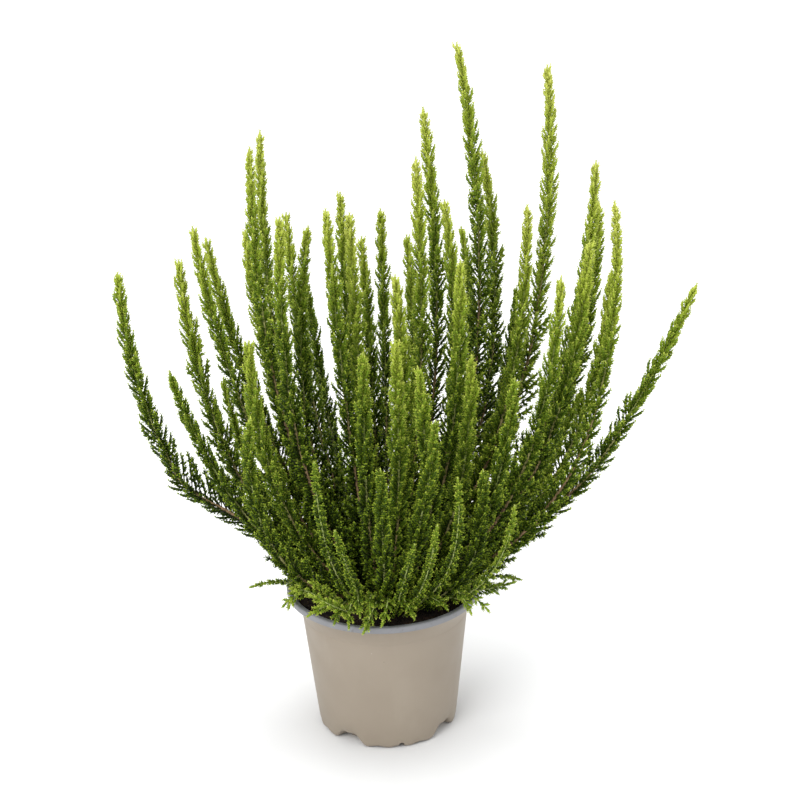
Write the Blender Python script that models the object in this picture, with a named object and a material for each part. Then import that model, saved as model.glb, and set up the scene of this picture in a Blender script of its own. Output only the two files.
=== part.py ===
"""A heather in a plastic nursery pot: the pot, its peat, and leafy stems in plain holes in the peat.

Lengths are in millimetres and become metres where a mesh is made. The origin is the middle of the pot's
underside, +Z is up and -Y is the front. Angles round the pot start at the front and grow towards +X.
"""

import math
from collections import namedtuple

import bpy
import numpy as np

MM = 0.001

# Pot
POT_HEIGHT = 94.0
LIP_RADIUS = 60.0
LIP_HEIGHT = 3.0
LIP_WIDTH = 3.0
WALL = 1.2
FLOOR = 1.5
REST_RADIUS = 33.0
FOOT_RADIUS = 42.6
WALL_SLOPE = 0.11
FLARE_START = 79.5
FLARE_RADIUS = 57.2
ARCHES = 4
ARCH_CENTRE = -34.0
ARCH_HALF_WIDTH = 12.0
ARCH_HEIGHT = 6.5
ARCH_FULLNESS = 1.35
# Steps round one quarter of the pot, from the middle of an arch, closer where the arch and the slot are
QUARTER_STEPS = (-12, -8, -3.5, 3.5, 8, 12, 20, 29, 38, 45, 52, 61, 70)
SLOT_FROM_ARCH = 45.0
SLOT_WIDTH = 3.6
SLOT_TOP = 3.6
SLOT_DEPTH = 8.0
SLOT_BELOW = 1.0
LIP_ROUND = 0.6
SMOOTH_DEGREES = 35.0

# Peat
SOIL_TOP = 86.0
SOIL_LUMP = 0.8
SOIL_STEPS = 32
SOIL_CLEARANCE = 0.4
SOIL_FLOOR_RADIUS = 31.0
SOIL_SEED = 7

# Stems
STEM_SIDES = 6
FOOT_STEM_RADIUS = 1.7
FOOT_DEPTH = 7.8
FOOT_SHOWS = 0.5
HOLE_CLEARANCE = 0.36
GOLDEN_ANGLE = math.radians(137.5)
TIP_SPACING = 6.0
RING_SPACING = 13.4
SPACING_GROWTH = 60.0
FOOT_WITHOUT_SHOOTS = 10.7
SHOOT_AT_TIP = 1.7
SHOOT_REACH = 7.2
SHOOT_GROWTH = 55.0
OLD_SHOOT_START = 130.0
OLD_SHOOT_GROWTH = 0.04
SHOOT_MOST = 11.0
SHOOT_SPREAD = (0.78, 1.15)
SHOOT_LEAN = 0.9
TOP_SHOOT_LEAN = 0.5
CORE_SHARE = 0.36
CORE_LEAST = 1.15
CORE_MOST = 2.5
CORE_GROWTH = 0.015

# How the stems keep clear of each other, of the peat and of the lip
SAMPLES = 31
DENSE_SAMPLES = 70
CURVE_SAMPLES = 25
KNEE_BACK = 0.75
LOW_BACK = 0.45
UPPER_SHARE = 0.7
FOOT_CLEARANCE = 6.2
STEM_CLEARANCE = 9.2
CLEARANCE_GROWTH = 60.0
BEND_ROUNDS = 60
BEND_STEP = 0.35
BEND_MOST = 1.5
BEND_UPWARDS = 0.3
CELL_MARGIN = 1.3
SHORTENED = (1.0, 0.85, 0.7, 0.55, 0.42, 0.3)
SHOOT_LEAST = 0.15
LIP_INNER = 51.5
LIP_OUTER = 63.5
LIP_CLEARANCE = 2.6
LIP_APPROACH = 9.0
BASE_LEAST = 3.0
BASE_SHARE = 20.0
BASE_MOST = 33.0
LOW_SPRIG_BASE = 44.0
LOW_SPRIG_TIP = 130.0

PLASTIC_TAUPE = ("pot_outside", (0.392, 0.345, 0.278), 0.55)
PLASTIC_GREY = ("pot_inside", (0.235, 0.240, 0.262), 0.45)
PEAT = ("peat", (0.022, 0.012, 0.007), 0.95)
FOLIAGE = ("foliage", (0.115, 0.245, 0.022), 0.60)

Stem = namedtuple("Stem", "name tip knee low", defaults=(None,))

# Each stem's tip as x, y, z, and its knee, halfway up, as x, z. Two stems also have a low point, as x, z.
STEMS = [
    Stem("left_a", (-149, 0, 301), (-123, 170), (-84, 138)),
    Stem("left_b", (-116, 30, 297), (-96, 182)),
    Stem("left_c", (-121, -20, 246), (-94, 170)),
    Stem("left_d", (-104, 0, 328), (-83, 221)),
    Stem("left_e", (-99, 25, 312), (-76, 216)),
    Stem("left_f", (-79, 80, 297), (-66, 205)),
    Stem("left_g", (-72, -45, 274), (-65, 190)),
    Stem("left_h", (-97, 70, 203), (-82, 150)),
    Stem("left_i", (-71, -85, 243), (-70, 170)),
    Stem("tall_a", (-63, 15, 380), (-58, 232)),
    Stem("tall_b", (-68, -10, 378), (-62, 243)),
    Stem("tall_c", (52, 65, 415), (62, 239)),
    Stem("tall_d", (106, 75, 397), (95, 228)),
    Stem("mid_a", (-51, -45, 348), (-50, 226)),
    Stem("mid_b", (-54, 90, 304), (-45, 210)),
    Stem("mid_c", (-39, 50, 309), (-46, 205)),
    Stem("mid_d", (-46, 125, 256), (-35, 176)),
    Stem("mid_e", (-26, -25, 345), (-19, 224)),
    Stem("mid_f", (-19, 40, 333), (-15, 215)),
    Stem("mid_g", (-13, -10, 337), (-10, 212)),
    Stem("mid_h", (-7, 20, 312), (-3, 205)),
    Stem("mid_i", (-7, -75, 277), (-8, 188)),
    Stem("mid_j", (4, 110, 298), (4, 186)),
    Stem("mid_k", (12, -30, 306), (15, 205)),
    Stem("mid_l", (11, -85, 288), (11, 192)),
    Stem("mid_m", (20, 125, 275), (22, 184)),
    Stem("mid_n", (31, 45, 382), (36, 240)),
    Stem("mid_o", (26, 10, 363), (26, 234)),
    Stem("mid_p", (42, 15, 335), (45, 220)),
    Stem("mid_q", (67, 90, 341), (71, 214)),
    Stem("mid_r", (55, 135, 276), (58, 177)),
    Stem("mid_s", (49, -50, 321), (42, 205)),
    Stem("right_a", (92, 45, 320), (80, 205)),
    Stem("right_b", (89, 110, 244), (74, 168)),
    Stem("right_c", (131, 25, 353), (108, 211)),
    Stem("right_d", (136, 60, 316), (118, 200)),
    Stem("right_e", (122, -40, 327), (100, 202)),
    Stem("right_f", (105, -54, 311), (87, 195)),
    Stem("right_g", (137, -28, 346), (124, 201)),
    Stem("right_h", (140, 20, 286), (118, 180)),
    Stem("right_i", (187, -10, 288), (135, 180), (92, 131)),
    Stem("right_j", (123, 40, 200), (92, 142)),
    Stem("right_k", (77, -85, 263), (63, 175)),
    Stem("front_a", (54, -60, 267), (47, 180)),
    Stem("front_b", (23, -110, 282), (28, 195)),
    Stem("front_c", (31, -105, 248), (25, 178)),
    Stem("front_d", (-36, -95, 220), (-32, 155)),
    Stem("front_e", (-26, -95, 177), (-19, 136)),
    Stem("front_f", (44, -95, 208), (42, 150)),
    Stem("front_g", (32, -100, 181), (26, 138)),
    Stem("front_h", (19, -95, 167), (12, 130)),
    Stem("front_i", (77, -75, 180), (67, 132)),
    Stem("front_j", (59, -80, 205), (55, 146)),
    Stem("front_k", (1, -105, 219), (1, 156)),
    Stem("low_a", (-82, -17, 101), (-63, 102)),
    Stem("low_b", (-44, -55, 124), (-30, 106)),
    Stem("low_c", (-11, -69, 97), (-9, 101)),
    Stem("low_d", (84, -17, 101), (66, 102)),
]


def clear_scene():
    for thing in list(bpy.data.objects):
        bpy.data.objects.remove(thing, do_unlink=True)


def material(look):
    name, colour, roughness = look
    made = bpy.data.materials.new(name)
    made.use_nodes = True
    shader = made.node_tree.nodes["Principled BSDF"]
    shader.inputs["Base Color"].default_value = (*colour, 1.0)
    shader.inputs["Roughness"].default_value = roughness
    return made


def mesh_object(name, points, faces, materials):
    """An object from points in millimetres and faces that point outwards."""
    mesh = bpy.data.meshes.new(name)
    mesh.from_pydata([tuple(p) for p in np.asarray(points) * MM], [], faces)
    mesh.validate()
    for one in materials:
        mesh.materials.append(one)
    made = bpy.data.objects.new(name, mesh)
    bpy.context.scene.collection.objects.link(made)
    return made


def smooth(made):
    made.data.shade_smooth()
    made.data.set_sharp_from_angle(angle=math.radians(SMOOTH_DEGREES))


def revolved(rings):
    """Points and faces of rings of equal length, from the bottom of the axis round to its top."""
    steps = len(rings[0])
    points = np.concatenate([[rings[0].mean(axis=0)], *rings, [rings[-1].mean(axis=0)]])
    faces = []
    for j in range(steps):
        after = (j + 1) % steps
        faces.append((0, 1 + after, 1 + j))
        for k in range(len(rings) - 1):
            low = 1 + k * steps
            high = low + steps
            faces.append((low + j, low + after, high + after, high + j))
        last = 1 + (len(rings) - 1) * steps
        faces.append((last + j, last + after, len(points) - 1))
    return points, faces


def smoothstep(value):
    value = min(1.0, max(0.0, value))
    return value * value * (3.0 - 2.0 * value)


def pot_steps():
    """Angles round the pot in degrees, and how far into an arch each one is, from 0 to 1."""
    quarter = 360.0 / ARCHES
    found = []
    for k in range(ARCHES):
        for step in QUARTER_STEPS:
            inside = smoothstep(ARCH_FULLNESS * (1.0 - abs(step) / ARCH_HALF_WIDTH))
            found.append((ARCH_CENTRE + k * quarter + step, inside))
    return found


def wall_radius(z):
    """The outer radius of the straight wall."""
    return FOOT_RADIUS + WALL_SLOPE * z


def flare_radius(share):
    """The outer radius part of the way out along the flare under the lip."""
    start = wall_radius(FLARE_START)
    return start + share * (FLARE_RADIUS - start)


def pot_profile():
    """The pot's outline as (radius, z, rise in an arch), from the underside round the lip to the floor."""
    lip_base = POT_HEIGHT - LIP_HEIGHT
    outside = [
        (REST_RADIUS, 0.0, 0.0),
        (FOOT_RADIUS - 2.3, 0.0, 1.0),
        (FOOT_RADIUS - 0.6, 0.9, 1.0),
        (wall_radius(3.2), 3.2, 0.85),
        (wall_radius(13.0), 13.0, 0.0),
        (flare_radius(0.0), FLARE_START, 0.0),
        (flare_radius(0.3), FLARE_START + 4.0, 0.0),
        (FLARE_RADIUS, lip_base, 0.0),
        (LIP_RADIUS, lip_base, 0.0),
        (LIP_RADIUS, POT_HEIGHT - LIP_ROUND, 0.0),
        (LIP_RADIUS - LIP_ROUND, POT_HEIGHT, 0.0),
    ]
    inside = [
        (LIP_RADIUS - LIP_WIDTH, POT_HEIGHT, 0.0),
        (flare_radius(0.3) - WALL, FLARE_START + 4.4, 0.0),
        (flare_radius(0.0) - WALL, FLARE_START, 0.0),
        (wall_radius(14.0) - WALL, 14.0, 0.0),
        (FOOT_RADIUS - 1.5, 4.0, 0.9),
        (FOOT_RADIUS - 3.0, FLOOR, 1.0),
        (REST_RADIUS - 1.2, FLOOR, 0.0),
    ]
    return outside + inside


def colour_pot(pot):
    """Gives the lip and the inside the second material."""
    lip_base = (POT_HEIGHT - LIP_HEIGHT) * MM
    for face in pot.data.polygons:
        middle, normal = face.center, face.normal
        on_lip = middle.z > lip_base - 0.001 * MM
        faces_in = normal.x * middle.x + normal.y * middle.y < 0.0
        faces_up = normal.z > 0.5
        face.material_index = int(on_lip or faces_in or faces_up)


def make_pot(taupe, grey):
    rings = []
    for radius, z, rise in pot_profile():
        ring = []
        for angle, inside in pot_steps():
            turn = math.radians(angle)
            ring.append((radius * math.sin(turn), -radius * math.cos(turn), z + rise * inside * ARCH_HEIGHT))
        rings.append(np.array(ring))
    points, faces = revolved(rings)
    pot = mesh_object("pot", points, faces, [taupe, grey])
    colour_pot(pot)
    cut(pot, make_slot_cutter())
    smooth(pot)
    return pot


def box_points(centre, size, turn):
    """The corners of a box turned about Z, its size as radial depth, width and height."""
    corners = []
    for z in (-0.5, 0.5):
        for x, y in ((-0.5, -0.5), (0.5, -0.5), (0.5, 0.5), (-0.5, 0.5)):
            depth, width = x * size[0], y * size[1]
            corners.append((
                centre[0] + depth * math.cos(turn) - width * math.sin(turn),
                centre[1] + depth * math.sin(turn) + width * math.cos(turn),
                centre[2] + z * size[2],
            ))
    return corners


def joined(shapes):
    """Points and faces of several closed shapes as one mesh."""
    points = []
    faces = []
    for shape_points, shape_faces in shapes:
        first = len(points)
        points.extend(shape_points)
        faces.extend([tuple(first + i for i in face) for face in shape_faces])
    return points, faces


def make_slot_cutter():
    """The four drain slots in the foot, midway between the arches."""
    box_faces = [(0, 3, 2, 1), (4, 5, 6, 7), (0, 1, 5, 4), (1, 2, 6, 5), (2, 3, 7, 6), (3, 0, 4, 7)]
    shapes = []
    for k in range(ARCHES):
        turn = math.radians(ARCH_CENTRE + SLOT_FROM_ARCH + k * 360.0 / ARCHES)
        centre = (FOOT_RADIUS * math.sin(turn), -FOOT_RADIUS * math.cos(turn), 0.5 * (SLOT_TOP - SLOT_BELOW))
        size = (SLOT_DEPTH, SLOT_WIDTH, SLOT_TOP + SLOT_BELOW)
        shapes.append((box_points(centre, size, turn - 0.5 * math.pi), box_faces))
    points, faces = joined(shapes)
    return mesh_object("slot_cutter", points, faces, [])


def cut(target, cutter):
    """Takes the cutter away from the target, and keeps the cutter as a helper."""
    cutter.hide_render = True
    cutter.display_type = "WIRE"
    boolean = target.modifiers.new(cutter.name, "BOOLEAN")
    boolean.operation = "DIFFERENCE"
    boolean.object = cutter


def base_point(stem):
    """Where a stem leaves the peat: on the tip's side of the pot, further out for one that leans flatter."""
    x, y, z = stem.tip
    reach = math.hypot(x, y)
    lean = math.hypot(stem.knee[0], KNEE_BACK * y) / (stem.knee[1] - SOIL_TOP)
    radius = min(BASE_MOST, BASE_LEAST + BASE_SHARE * lean)
    if z < LOW_SPRIG_TIP:
        radius = LOW_SPRIG_BASE
    return np.array([x / reach * radius, y / reach * radius, SOIL_TOP])


def smooth_through(points):
    """A fine polyline that runs smoothly through the points, straighter above each one than below it."""
    chords = np.diff(points, axis=0)
    lengths = np.linalg.norm(chords, axis=1)[:, None]
    ways = chords / lengths
    inner = (1.0 - UPPER_SHARE) * ways[:-1] + UPPER_SHARE * ways[1:]
    inner /= np.linalg.norm(inner, axis=1, keepdims=True)
    tangents = np.concatenate([[2.0 * ways[0] - inner[0]], inner, [2.0 * ways[-1] - inner[-1]]])
    t = np.linspace(0.0, 1.0, CURVE_SAMPLES)[:, None]
    pieces = []
    for k in range(len(chords)):
        start, end = tangents[k] * lengths[k], tangents[k + 1] * lengths[k]
        pieces.append(
            (2 * t ** 3 - 3 * t ** 2 + 1) * points[k] + (t ** 3 - 2 * t ** 2 + t) * start
            + (3 * t ** 2 - 2 * t ** 3) * points[k + 1] + (t ** 3 - t ** 2) * end
        )
    return np.concatenate([pieces[0]] + [piece[1:] for piece in pieces[1:]])


def stem_curve(stem):
    """Points evenly along a stem, from the top of the peat through its knee to its tip."""
    back = stem.tip[1]
    points = [base_point(stem)]
    if stem.low:
        points.append((stem.low[0], LOW_BACK * back, stem.low[1]))
    points += [(stem.knee[0], KNEE_BACK * back, stem.knee[1]), stem.tip]
    fine = smooth_through(np.array(points, float))
    return along(fine, np.linspace(0.0, line_length(fine), SAMPLES))


def line_length(line):
    return np.linalg.norm(np.diff(line, axis=0), axis=1).sum()


def closeness(points, others):
    """The distance from each point to each of the others."""
    squares = (points ** 2).sum(1)[:, None] + (others ** 2).sum(1)[None, :] - 2.0 * points @ others.T
    return np.sqrt(np.maximum(squares, 0.0))


def lowest(points, clearance):
    """The least height at each point that keeps the clearance to the peat and the lip."""
    radius = np.hypot(points[..., 0], points[..., 1])
    lip_top = POT_HEIGHT + clearance
    ramp = np.interp(radius, (LIP_INNER - LIP_APPROACH, LIP_INNER), (SOIL_TOP, lip_top))
    return np.where(radius > LIP_OUTER, lip_top - (radius - LIP_OUTER), ramp)


def wanted_clearance(axes):
    """How far each point of each axis keeps from other stems: less at the bare foot than higher up."""
    lengths = np.array([line_length(axis) for axis in axes])
    from_base = np.linspace(0.0, 1.0, SAMPLES)[None, :] * lengths[:, None]
    share = np.minimum(from_base / CLEARANCE_GROWTH, 1.0)
    return (FOOT_CLEARANCE + (STEM_CLEARANCE - FOOT_CLEARANCE) * share).reshape(-1)


def bend_clear(axes):
    """The stems' axes, pushed apart a little at a time until none comes within the clearance of another."""
    axes = axes.copy()
    stems = len(axes)
    owner = np.repeat(np.arange(stems), SAMPLES)
    room = wanted_clearance(axes)
    for _ in range(BEND_ROUNDS):
        points = axes.reshape(-1, 3)
        near = closeness(points, points)
        first, second = np.nonzero((near < STEM_CLEARANCE) & (owner[:, None] != owner[None, :]))
        apart = points[first] - points[second]
        gap = np.linalg.norm(apart, axis=1, keepdims=True) + 1e-6
        lacking = np.maximum(0.5 * (room[first] + room[second])[:, None] - gap, 0.0)
        move = np.zeros_like(points)
        np.add.at(move, first, BEND_STEP * lacking / gap * apart)
        size = np.linalg.norm(move, axis=1, keepdims=True)
        move *= np.minimum(1.0, BEND_MOST / np.maximum(size, 1e-6))
        move[:, 2] *= BEND_UPWARDS
        move = move.reshape(stems, SAMPLES, 3)
        move[:, 0, 2] = 0.0
        eased = move.copy()
        eased[:, 1:-1] = 0.25 * move[:, :-2] + 0.5 * move[:, 1:-1] + 0.25 * move[:, 2:]
        axes += eased
        axes[..., 2] = np.maximum(axes[..., 2], lowest(axes, CORE_MOST + LIP_CLEARANCE))
    return axes


def along(axis, lengths):
    """Points at the given lengths from the base of a polyline."""
    steps = np.linalg.norm(np.diff(axis, axis=0), axis=1)
    marks = np.concatenate([[0.0], np.cumsum(steps)])
    return np.stack([np.interp(lengths, marks, axis[:, k]) for k in range(3)], axis=1)


def ring_places(length):
    """Lengths from the base at which a stem has a ring of shoots, closer together at the tip."""
    places = []
    from_tip = 0.0
    while True:
        share = min(1.0, from_tip / SPACING_GROWTH)
        from_tip += TIP_SPACING + (RING_SPACING - TIP_SPACING) * share
        if length - from_tip < FOOT_WITHOUT_SHOOTS:
            break
        places.append(length - from_tip)
    return np.array(places[::-1])


def frames(axis, places, length):
    """The stem's heading at each place and two directions square to it, carried along without twisting."""
    heading = along(axis, np.minimum(places + 1.0, length)) - along(axis, np.maximum(places - 1.0, 0.0))
    heading /= np.linalg.norm(heading, axis=1, keepdims=True)
    side = np.array([1.0, 0.0, 0.0])
    sides = []
    for one in heading:
        side = side - one * (side @ one)
        side /= np.linalg.norm(side)
        sides.append(side)
    sides = np.array(sides)
    return heading, sides, np.cross(heading, sides)


def shoot_reach(from_tip):
    """How far a side shoot stands out of a stem, at a length from the stem's tip."""
    young = SHOOT_AT_TIP + (SHOOT_REACH - SHOOT_AT_TIP) * (1.0 - np.exp(-from_tip / SHOOT_GROWTH))
    old = OLD_SHOOT_GROWTH * np.maximum(from_tip - OLD_SHOOT_START, 0.0)
    return np.minimum(young + old, SHOOT_MOST)


def clear_of_pot(points):
    """Which points are above the peat and the lip, or well outside the pot."""
    return points[:, 2] > lowest(points, LIP_CLEARANCE) + SOIL_LUMP


def ring_of(middle, side, across, radius, turn):
    """The corners of one ring, and the directions in which they lie."""
    angles = turn + 2.0 * math.pi * np.arange(STEM_SIDES)[:, None] / STEM_SIDES
    out = side * np.cos(angles) + across * np.sin(angles)
    return middle + radius * out, out


def stem_rings(index, axes, dense):
    """The rings of one stem: on each of them every other corner is a shoot that leans up and out."""
    axis = axes[index]
    length = line_length(axis)
    places = ring_places(length)
    spacing = np.diff(np.append(places, length))
    middle = along(axis, places)
    heading, side, across = frames(axis, places, length)
    reach = shoot_reach(length - places)
    core = np.clip(CORE_SHARE * reach, CORE_LEAST, CORE_MOST)
    core = np.minimum(core, FOOT_STEM_RADIUS + CORE_GROWTH * places)
    others = np.delete(dense, index, axis=0).reshape(-1, 3)
    draw = np.random.default_rng(index)
    below = axis[0] + (0.0, 0.0, FOOT_SHOWS)
    rings = []
    for k in range(len(places)):
        ring, out = ring_of(middle[k], side[k], across[k], core[k], stem_turn(index))
        lean = SHOOT_LEAN if k < len(places) - 1 else TOP_SHOOT_LEAN
        for j in range(k % 2, STEM_SIDES, 2):
            reach_out = reach[k] * draw.uniform(*SHOOT_SPREAD) - core[k]
            shoot = reach_out * out[j] + lean * spacing[k] * heading[k]
            ring[j] = longest_clear(ring[j], shoot, below, dense[index], others)
        rings.append(ring)
        below = middle[k]
    return rings


def longest_clear(root, shoot, below, own, others):
    """The end of the longest form of a shoot that stays nearer to its own stem than to any other.

    The pot and the peat have to lie clear of it, and of the face that runs down from it to the ring below.
    """
    ends = root + np.array(SHORTENED)[:, None] * shoot
    fits = closeness(ends, others).min(axis=1) > closeness(ends, own).min(axis=1) + CELL_MARGIN
    for share in (0.0, 0.3, 0.6):
        fits &= clear_of_pot(ends + share * (below - ends))
    if fits.any():
        return ends[np.argmax(fits)]
    return root + SHOOT_LEAST * shoot


def stem_turn(index):
    """How far a stem's corners are turned about its axis, a golden angle more for each stem."""
    return index * GOLDEN_ANGLE


def foot_rings(index, base, radius, low, high):
    """Two level rings round a stem's foot, for the bare foot itself or for its hole."""
    along_x, along_y = np.array([1.0, 0.0, 0.0]), np.array([0.0, 1.0, 0.0])
    rings = []
    for z in (low, high):
        ring, _ = ring_of(np.array([base[0], base[1], z]), along_x, along_y, radius, stem_turn(index))
        rings.append(ring)
    return rings


def stem_faces(ring_count, bare_rings):
    """Triangles between the rings, folded along the valleys so that each shoot is a pyramid of its own."""
    faces = [tuple(reversed(range(STEM_SIDES)))]
    for k in range(ring_count - 1):
        for j in range(STEM_SIDES):
            after = (j + 1) % STEM_SIDES
            low, low_after = k * STEM_SIDES + j, k * STEM_SIDES + after
            high, high_after = low + STEM_SIDES, low_after + STEM_SIDES
            if (j + k - bare_rings) % 2:
                faces += [(low, low_after, high_after), (low, high_after, high)]
            else:
                faces += [(low, low_after, high), (low_after, high_after, high)]
    last = (ring_count - 1) * STEM_SIDES
    tip = ring_count * STEM_SIDES
    faces += [(last + j, last + (j + 1) % STEM_SIDES, tip) for j in range(STEM_SIDES)]
    return faces


def make_stem(index, axes, dense, look):
    base, tip = axes[index][0], axes[index][-1]
    foot = foot_rings(index, base, FOOT_STEM_RADIUS, SOIL_TOP - FOOT_DEPTH, SOIL_TOP + FOOT_SHOWS)
    rings = foot + stem_rings(index, axes, dense)
    points = np.concatenate([*rings, [tip]])
    return mesh_object("stem_" + STEMS[index].name, points, stem_faces(len(rings), len(foot)), [look])


def soil_profile():
    """The peat's side as (radius, z): a narrow floor, a slope that passes over the arches, and the wall."""
    gap = WALL + SOIL_CLEARANCE
    return [
        (SOIL_FLOOR_RADIUS, FLOOR + 0.3),
        (FOOT_RADIUS - 4.2, 9.4),
        (FOOT_RADIUS - 1.4, 11.4),
        (wall_radius(15.0) - gap, 15.0),
        (flare_radius(0.0) - gap, FLARE_START),
        (flare_radius(0.3) - gap, FLARE_START + 4.2),
        (flare_radius(0.42) - gap, SOIL_TOP - SOIL_LUMP),
    ]


def make_soil(look, axes):
    draw = np.random.default_rng(SOIL_SEED)
    profile = soil_profile()
    edge = profile[-1][0]
    turns = 2.0 * math.pi * np.arange(SOIL_STEPS) / SOIL_STEPS
    level = np.zeros(SOIL_STEPS)
    lumps = draw.uniform(-SOIL_LUMP, SOIL_LUMP, SOIL_STEPS)
    top = [(edge - 3.5, SOIL_TOP, lumps), (0.7 * edge, SOIL_TOP, level)]
    rings = []
    for radius, z, rise in [(*place, level) for place in profile] + top:
        rings.append(np.stack([radius * np.cos(turns), radius * np.sin(turns), z + rise], axis=1))
    points, faces = revolved(rings)
    soil = mesh_object("soil", points, faces, [look])
    cut(soil, make_hole_cutter(axes))
    return soil


def make_hole_cutter(axes):
    """One plain six-sided hole for the foot of each stem."""
    around = range(STEM_SIDES)
    faces_of_one = [tuple(reversed(around)), tuple(j + STEM_SIDES for j in around)]
    for j in around:
        after = (j + 1) % STEM_SIDES
        faces_of_one.append((j, after, STEM_SIDES + after, STEM_SIDES + j))
    bottom = SOIL_TOP - FOOT_DEPTH - HOLE_CLEARANCE
    shapes = []
    for index, axis in enumerate(axes):
        rings = foot_rings(index, axis[0], FOOT_STEM_RADIUS + HOLE_CLEARANCE, bottom, SOIL_TOP + FOOT_DEPTH)
        shapes.append((np.concatenate(rings), faces_of_one))
    points, faces = joined(shapes)
    return mesh_object("hole_cutter", points, faces, [])


def main():
    clear_scene()
    make_pot(material(PLASTIC_TAUPE), material(PLASTIC_GREY))
    axes = bend_clear(np.array([stem_curve(stem) for stem in STEMS]))
    make_soil(material(PEAT), axes)
    green = material(FOLIAGE)
    dense = np.array([along(axis, np.linspace(0.0, line_length(axis), DENSE_SAMPLES)) for axis in axes])
    for index in range(len(STEMS)):
        make_stem(index, axes, dense, green)


main()
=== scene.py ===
"""The looks of the potted heather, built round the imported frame.

Lengths are in millimetres and become metres where a mesh is made. The frame's origin is the middle of
the pot's underside, +Z is up and -Y faces the camera. The stems' routes repeat the part's source, which
this script can't read. A pair that soft_step takes is where the step starts and how long it is.
"""

import math
from collections import namedtuple

import bpy
import numpy as np
from mathutils import Matrix, Vector, noise

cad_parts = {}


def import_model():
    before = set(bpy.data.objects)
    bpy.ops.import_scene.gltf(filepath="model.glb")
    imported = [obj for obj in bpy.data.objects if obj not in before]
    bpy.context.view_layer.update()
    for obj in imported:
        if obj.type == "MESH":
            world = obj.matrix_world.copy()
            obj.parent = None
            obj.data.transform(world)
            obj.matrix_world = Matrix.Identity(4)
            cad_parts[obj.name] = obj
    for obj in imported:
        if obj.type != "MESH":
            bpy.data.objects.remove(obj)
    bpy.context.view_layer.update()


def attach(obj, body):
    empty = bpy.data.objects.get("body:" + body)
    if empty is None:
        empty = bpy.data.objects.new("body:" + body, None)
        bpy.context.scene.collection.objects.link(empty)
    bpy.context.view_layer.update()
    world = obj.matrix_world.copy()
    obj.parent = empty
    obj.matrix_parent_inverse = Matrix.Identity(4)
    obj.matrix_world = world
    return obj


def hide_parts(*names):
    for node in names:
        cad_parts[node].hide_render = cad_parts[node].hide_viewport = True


MM = 0.001

# The pot, as in the part's source but for a larger lip, wider arches and a degree of turn of the foot
POT_HEIGHT = 94.0
LIP_RADIUS = 60.0
LIP_HEIGHT = 4.0
LIP_WIDTH = 3.4
WALL = 1.2
FLOOR = 1.5
REST_RADIUS = 33.0
FOOT_RADIUS = 42.6
WALL_SLOPE = 0.11
FLARE_START = 79.5
FLARE_RADIUS = 57.2
FLARE_BEND = 0.25
ARCHES = 4
ARCH_CENTRE = -35.0
ARCH_HALF_WIDTH = 16.0
ARCH_HEIGHT = 6.5
ARCH_FULLNESS = 1.35
SLOT_FROM_ARCH = 46.0
SLOT_WIDTH = 3.6
SLOT_TOP = 3.6
SLOT_DEPTH = 8.0

# The pot's finer form
POT_STEPS = 240
SKIN = 0.55
SKIN_FLOOR = 0.7
LAYER_GAP = 0.03
CORNER = FOOT_RADIUS - 2.6
CORNER_ROUND = 2.9
MIDDLE_RING = 12.0
RIPPLE = 0.5
RIPPLES = 20.0
FOOT_BAND = (-13.0, 12.0)
FOOT_EDGE = (REST_RADIUS, 5.0)
CREASE_DEPTH = 0.22
CREASE_HEIGHT = 77.0
CREASE_WIDTH = 0.4
CREASE_PROFILE = (-0.9, -0.4, 0.0, 0.4, 0.9)

# Peat
SOIL_TOP = 86.0
PEAT_LEVEL = SOIL_TOP - 0.5
PEAT_FOOT = FLOOR + 0.4
PEAT_TO_POT = WALL + 0.25
PEAT_STEPS = 180
PEAT_RINGS = 56
PEAT_RELIEF = 0.91
PEAT_MOUND = 0.8
PEAT_MOST = 2.2
PEAT_EDGE = (0.93, 0.07)
PEAT_EDGE_FALL = 1.2
PEAT_WAVE = 0.004
PEAT_WAVES = 17.0
MOUND_SCALE = 0.045
LUMP_SCALE = 0.22
LUMP_KIND = (0.9, 2.1, 4)
CRUMBS = 560
CRUMB_REACH = 52.0
CRUMB_SIZE = (0.35, 1.3)
CRUMB_STRETCH = (0.6, 1.3)
CRUMB_UNEVEN = (0.8, 1.2)
CRUMB_FLATNESS = 0.7
CRUMB_LIFT = 0.25
FIBRES = 130
FIBRE_REACH = 50.0
FIBRE_LENGTH = (2.5, 8.0)
FIBRE_RADIUS = (0.10, 0.22)
FIBRE_CURL = 1.2
FIBRE_POINTS = 5
CRUMB_SEED = 41

# Stems, as in the part's source
SHOOT_AT_TIP = 1.7
SHOOT_REACH = 7.2
SHOOT_GROWTH = 55.0
OLD_SHOOT_START = 130.0
OLD_SHOOT_GROWTH = 0.04
SHOOT_MOST = 11.0
CORE_MOST = 2.5
SAMPLES = 31
CURVE_SAMPLES = 25
KNEE_BACK = 0.75
LOW_BACK = 0.45
UPPER_SHARE = 0.7
FOOT_CLEARANCE = 6.2
STEM_CLEARANCE = 9.2
CLEARANCE_GROWTH = 60.0
BEND_ROUNDS = 60
BEND_STEP = 0.35
BEND_MOST = 1.5
BEND_UPWARDS = 0.3
LIP_INNER = 51.5
LIP_OUTER = 63.5
LIP_CLEARANCE = 2.6
LIP_APPROACH = 9.0
BASE_LEAST = 3.0
BASE_SHARE = 20.0
BASE_MOST = 33.0
LOW_SPRIG_BASE = 44.0
LOW_SPRIG_TIP = 130.0
GOLDEN_ANGLE = math.radians(137.5)

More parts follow.
